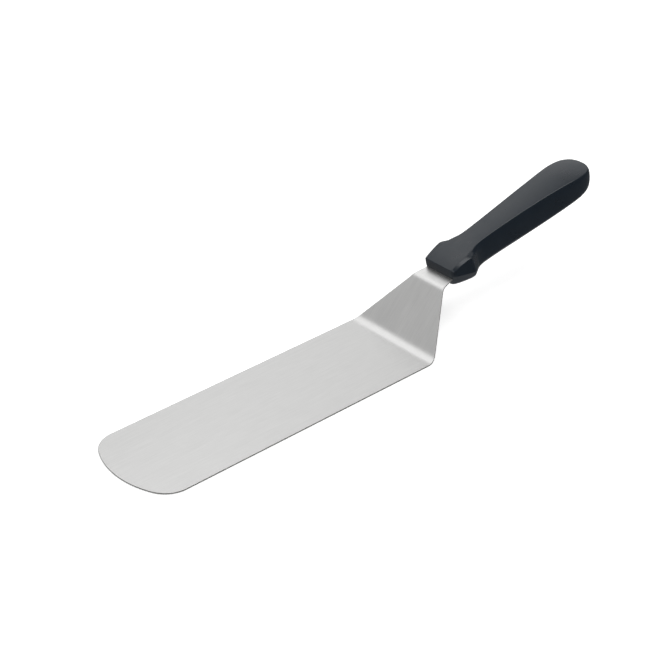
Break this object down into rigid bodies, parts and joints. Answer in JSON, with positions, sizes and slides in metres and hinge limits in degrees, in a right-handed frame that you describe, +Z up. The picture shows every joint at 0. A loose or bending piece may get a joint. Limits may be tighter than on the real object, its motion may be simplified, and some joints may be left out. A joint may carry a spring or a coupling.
{
  "type": "offset spatula",
  "caption": "Offset spatula with a wide round-ended steel blade, a steep riser and a black moulded handle with a faceted bolster, for lifting and spreading baked goods.",
  "frame": {"origin": "on the surface the blade lies on, under the middle of the spatula's overall length and on its plane of symmetry", "axes": "+X from the blade's rounded end towards the handle's butt, +Y across the blade, +Z up, away from the surface under the blade"},
  "size_m": [0.4127, 0.076, 0.0742],
  "materials": {
    "steel": "fine satin, brushed lengthwise",
    "plastic": "semi-gloss blue-black moulded polypropylene"
  },
  "bodies": {
    "root": {"blade": "steel", "handle": "plastic"}
  },
  "joints": []
}
